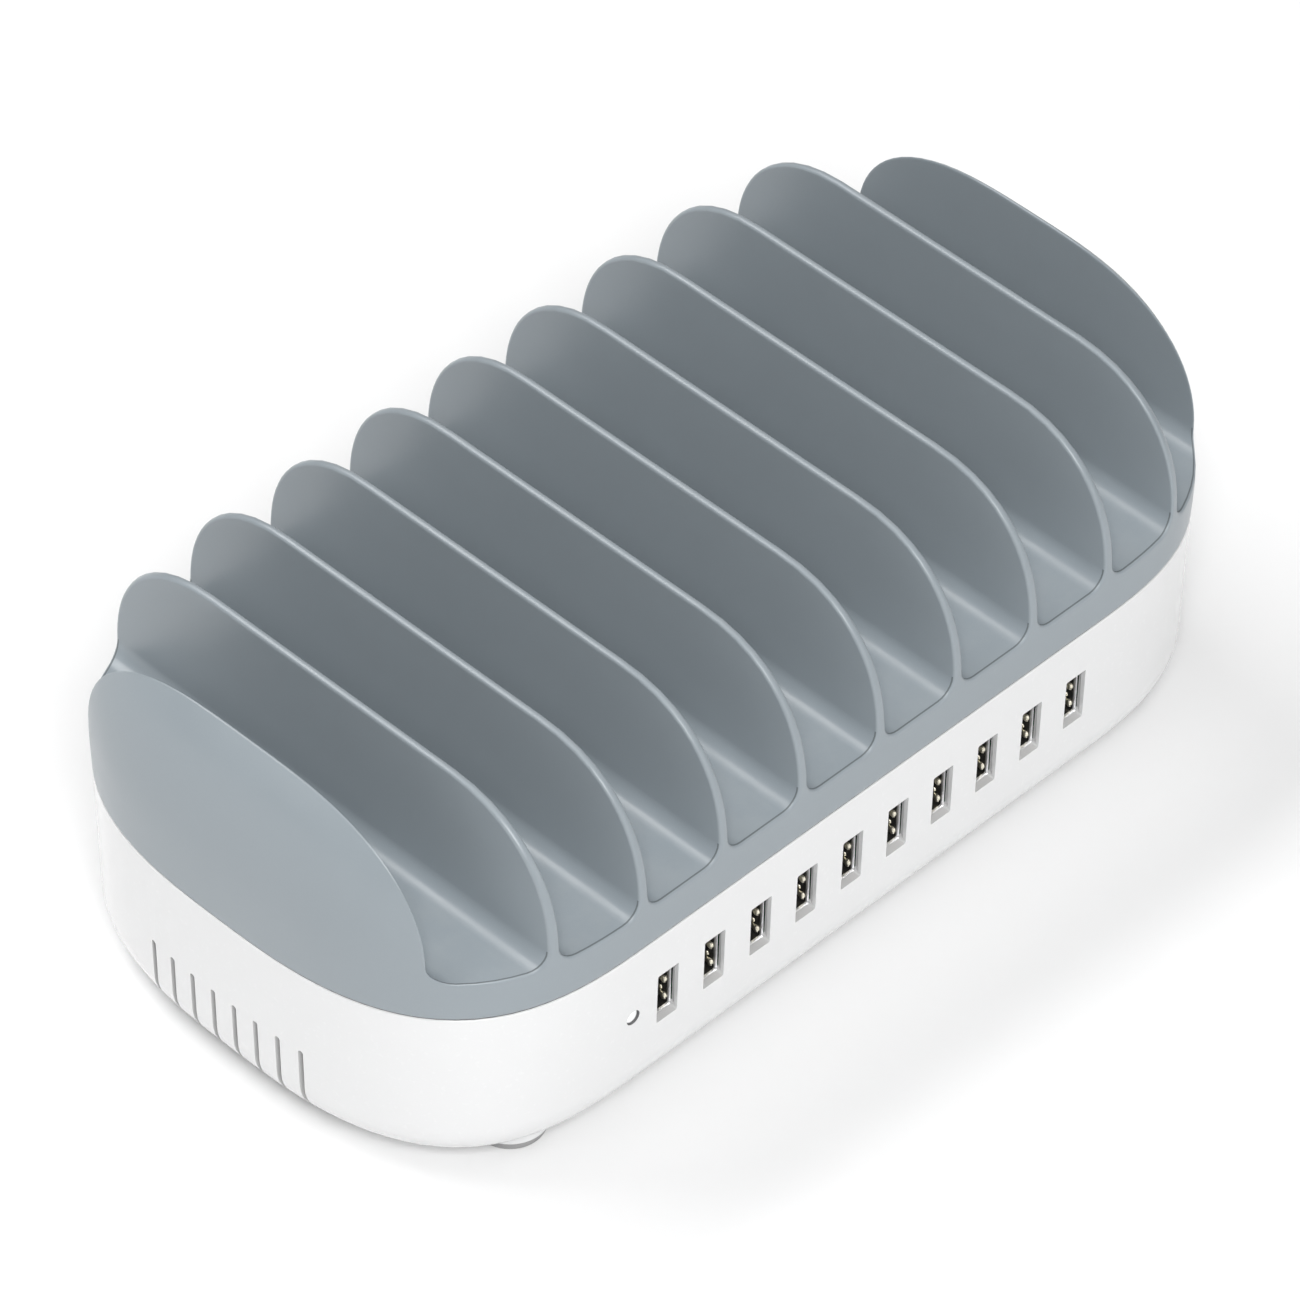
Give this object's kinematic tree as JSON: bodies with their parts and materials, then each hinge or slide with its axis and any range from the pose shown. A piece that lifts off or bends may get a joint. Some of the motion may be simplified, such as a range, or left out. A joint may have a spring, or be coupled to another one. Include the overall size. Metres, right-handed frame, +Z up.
{
  "type": "usb charging station",
  "caption": "Desktop charging station: a grey tray of upright device slots on a white case with a row of upright USB-A sockets, round feet, a rear mains inlet and a rocker switch.",
  "frame": {"origin": "middle of the footprint, on the surface that the feet stand on", "axes": "+X along the long side, -Y is the front with the USB sockets, +Z up"},
  "size_m": [0.2386, 0.1272, 0.0888],
  "materials": {
    "tray_grey": "fine satin moulded plastic, blue grey",
    "tub_white": "glossy white moulded plastic",
    "foot_grey": "soft grey pad",
    "screw_steel": "zinc-plated steel",
    "socket_steel": "folded plated steel",
    "tongue_black": "black moulded plastic with gilt contacts",
    "board_green": "solder-masked glass fibre",
    "inlet_black": "fine black moulded plastic",
    "rocker_black": "smooth black plastic",
    "pin_nickel": "nickel-plated brass",
    "light_clear": "frosted clear plastic",
    "fuse_ceramic": "ceramic tube",
    "capacitor_yellow": "moulded box",
    "capacitor_sleeve": "shrink sleeve",
    "ferrite_grey": "dull ferrite",
    "resin_black": "moulded resin",
    "sink_aluminium": "extruded aluminium",
    "wire_brown": "soft insulation",
    "wire_blue": "soft insulation",
    "wire_red": "soft insulation",
    "wire_black": "soft insulation"
  },
  "bodies": {
    "case": {"top_tray": "tray_grey", "body_shell": "tub_white", "foot_1": "foot_grey", "foot_2": "foot_grey", "foot_3": "foot_grey", "foot_4": "foot_grey", "case_screw_1": "screw_steel", "case_screw_2": "screw_steel", "case_screw_3": "screw_steel", "case_screw_4": "screw_steel", "usb_shell_1": "socket_steel", "usb_shell_2": "socket_steel", "usb_shell_3": "socket_steel", "usb_shell_4": "socket_steel", "usb_shell_5": "socket_steel", "usb_shell_6": "socket_steel", "usb_shell_7": "socket_steel", "usb_shell_8": "socket_steel", "usb_shell_9": "socket_steel", "usb_shell_10": "socket_steel", "usb_tongue_1": "tongue_black", "usb_tongue_2": "tongue_black", "usb_tongue_3": "tongue_black", "usb_tongue_4": "tongue_black", "usb_tongue_5": "tongue_black", "usb_tongue_6": "tongue_black", "usb_tongue_7": "tongue_black", "usb_tongue_8": "tongue_black", "usb_tongue_9": "tongue_black", "usb_tongue_10": "tongue_black", "usb_board": "board_green", "power_board": "board_green", "usb_board_screw_1": "screw_steel", "usb_board_screw_2": "screw_steel", "power_board_screw_1": "screw_steel", "power_board_screw_2": "screw_steel", "light_window": "light_clear", "status_light": "light_clear", "ac_inlet": "inlet_black", "inlet_pin_1": "pin_nickel", "inlet_pin_2": "pin_nickel", "switch_frame": "inlet_black", "switch_terminal_lower": "pin_nickel", "switch_terminal_upper": "pin_nickel", "fuse": "fuse_ceramic", "x_capacitor": "capacitor_yellow", "line_choke": "ferrite_grey", "bridge_rectifier": "resin_black", "bulk_capacitor": "capacitor_sleeve", "transformer": "ferrite_grey", "primary_heatsink": "sink_aluminium", "secondary_heatsink": "sink_aluminium", "output_capacitor_1": "capacitor_sleeve", "output_capacitor_2": "capacitor_sleeve", "neutral_wire": "wire_blue", "live_wire": "wire_brown", "switched_wire": "wire_brown", "dc_positive_wire": "wire_red", "dc_negative_wire": "wire_black"},
    "rocker": {"switch_rocker": "rocker_black"}
  },
  "joints": [
    {"name": "rocker_tilt", "type": "hinge", "parent": "case", "child": "rocker", "pos_m": [-0.0215, 0.05724, 0.0265], "axis": [1, 0, 0], "range_deg": [0, 24]}
  ]
}
